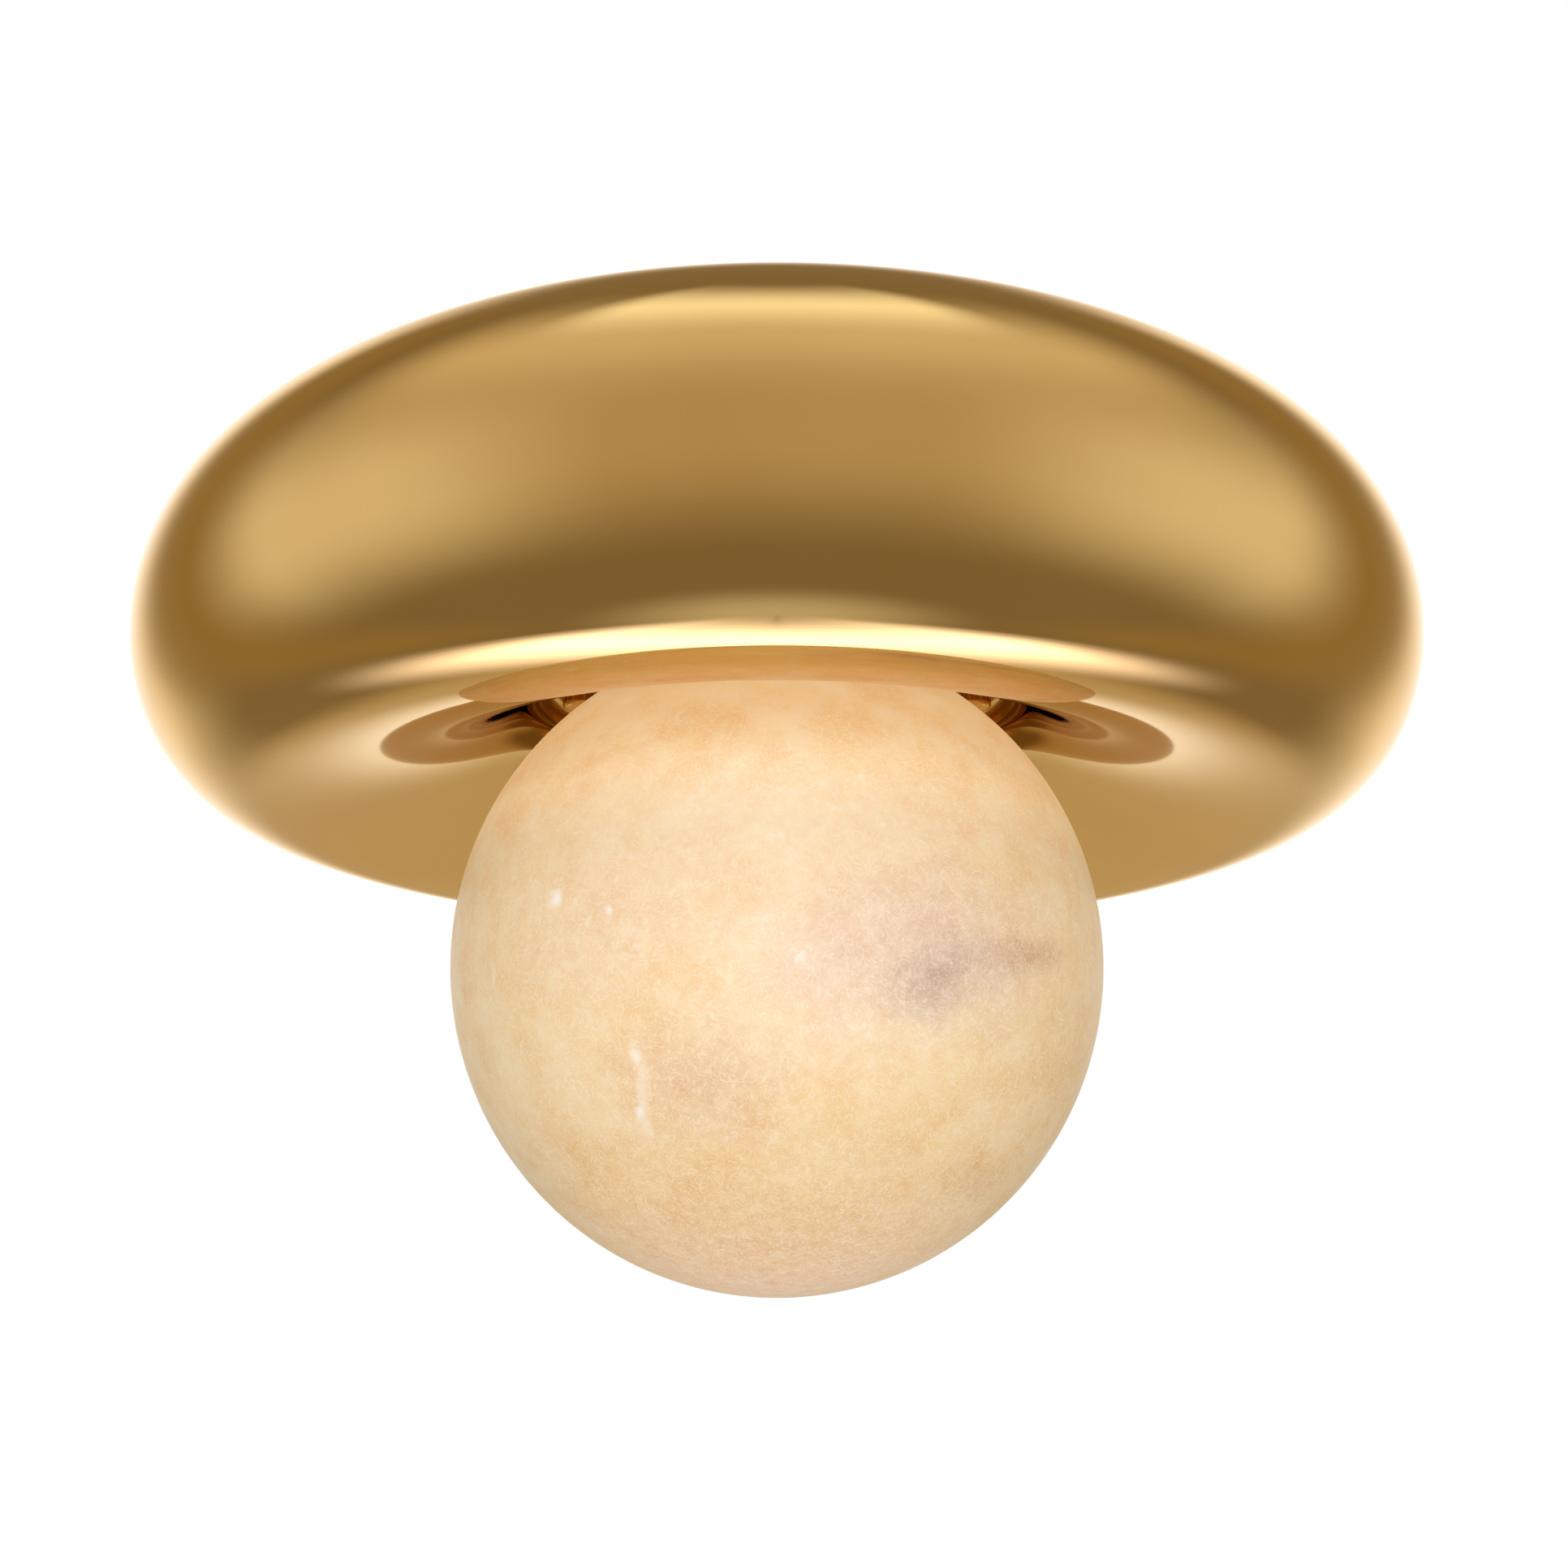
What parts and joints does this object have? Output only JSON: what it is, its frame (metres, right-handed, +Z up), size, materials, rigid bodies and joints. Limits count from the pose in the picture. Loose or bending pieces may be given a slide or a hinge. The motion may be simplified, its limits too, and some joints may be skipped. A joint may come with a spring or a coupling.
{
  "type": "flush mount ceiling light",
  "caption": "Flush ceiling light: a hollow polished brass ring against the ceiling, with an alabaster globe that unscrews from the well in its middle.",
  "frame": {"origin": "middle of the ceiling plane, centre of the crossbar's bolt pattern", "axes": "+Z up into the ceiling, +X along the steel crossbar, -Y towards the viewer"},
  "size_m": [0.4, 0.4, 0.2294],
  "materials": {
    "polished_brass": "spun, brazed at the crest, polished and lacquered",
    "alabaster": "hollowed, sanded and waxed alabaster, lit from inside",
    "machined_brass": "turned",
    "thin_brass": "rolled sheet",
    "zinc_steel": "zinc plated",
    "spring_steel": "drawn wire",
    "green_steel": "green passivated",
    "foam": "closed-cell foam",
    "silicone": "moulded",
    "nylon": "moulded",
    "porcelain": "white glaze",
    "nickel": "nickel plated",
    "solder": "tinned",
    "black_glass": "fused glass",
    "white_heat_sink": "moulded over aluminium",
    "board": "white solder mask",
    "opal": "opal diffuser",
    "block_plastic": "moulded polyamide",
    "live_insulation": "silicone rubber",
    "neutral_insulation": "silicone rubber",
    "earth_insulation": "silicone rubber"
  },
  "bodies": {
    "housing": {"outer_ring_shell": "polished_brass", "inner_dish_shell": "polished_brass", "globe_fitter": "machined_brass", "centre_nipple": "machined_brass", "nipple_nuts": "machined_brass", "cap_nuts": "machined_brass", "socket_cap": "machined_brass", "socket_terminals": "machined_brass", "terminal_clamps": "machined_brass", "socket_screw_shell": "thin_brass", "ceiling_bracket": "zinc_steel", "backing_plate": "zinc_steel", "hanger_studs": "zinc_steel", "stud_washers": "zinc_steel", "fitter_screws": "zinc_steel", "fitter_nuts": "zinc_steel", "clamp_screws": "zinc_steel", "block_screws": "zinc_steel", "socket_screws": "zinc_steel", "plunger_spring": "spring_steel", "earth_screws": "green_steel", "ceiling_gasket": "foam", "socket_body": "porcelain", "terminal_block": "block_plastic", "live_lead": "live_insulation", "neutral_lead": "neutral_insulation", "earth_lead": "earth_insulation"},
    "slip_washer": {"slip_washer": "nylon"},
    "globe": {"alabaster_globe": "alabaster", "globe_collar": "machined_brass", "neck_gasket": "silicone"},
    "centre_contact": {"contact_plunger": "machined_brass"},
    "lamp": {"lamp_tip": "solder", "lamp_insulator": "black_glass", "lamp_screw_base": "nickel", "lamp_heat_sink": "white_heat_sink", "led_board": "board", "lamp_diffuser": "opal"}
  },
  "joints": [
    {"name": "globe_lower", "type": "slide", "parent": "housing", "child": "slip_washer", "axis": [0, 0, -1], "range_m": [0, 0.0075]},
    {"name": "globe_turn", "type": "hinge", "parent": "slip_washer", "child": "globe", "pos_m": [0, 0, -0.1264], "axis": [0, 0, -1], "range_deg": [0, 900]},
    {"name": "contact_follow", "type": "slide", "parent": "housing", "child": "centre_contact", "axis": [0, 0, -1], "range_m": [0, 0.00242], "deforming": ["plunger_spring"]},
    {"name": "lamp_turn", "type": "hinge", "parent": "centre_contact", "child": "lamp", "pos_m": [0, 0, -0.1], "axis": [0, 0, -1], "range_deg": [0, 240]}
  ],
  "couplings": [
    {"joint": "globe_lower", "follows": "globe_turn", "m_per_rad": 0.00047746},
    {"joint": "contact_follow", "follows": "lamp_turn", "m_per_rad": 0.00057757}
  ]
}
